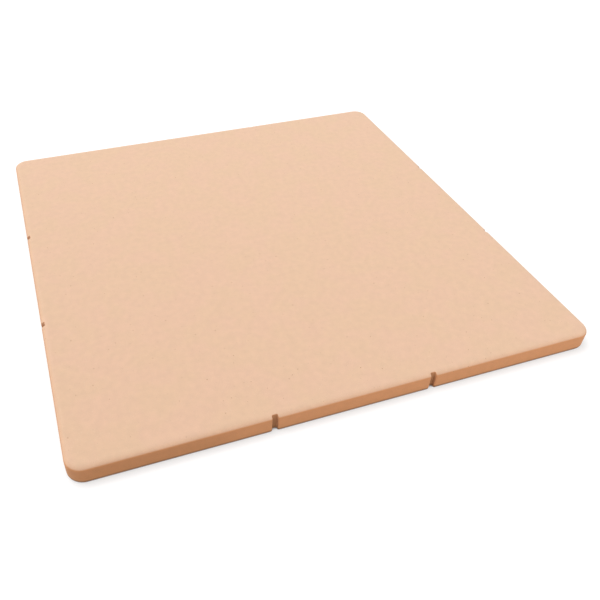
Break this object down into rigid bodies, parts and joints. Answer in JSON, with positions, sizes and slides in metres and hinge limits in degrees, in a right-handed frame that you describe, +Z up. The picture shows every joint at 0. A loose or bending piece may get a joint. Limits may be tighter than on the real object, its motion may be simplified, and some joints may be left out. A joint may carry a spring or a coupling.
{
  "type": "pizza stone",
  "caption": "Square unglazed ceramic baking slab with rounded corners, an eased top edge and narrow expansion notches in its sides; bread or pizza bakes on its flat top.",
  "frame": {"origin": "middle of the flat underside, on the surface that the slab lies on", "axes": "+Z up through the slab's thickness, towards the baking face; X and Y along its sides"},
  "size_m": [0.381, 0.381, 0.0142],
  "materials": {
    "cordierite": "unglazed, matt, fine-grained and lightly speckled"
  },
  "bodies": {
    "root": {"baking_slab": "cordierite"}
  },
  "joints": []
}
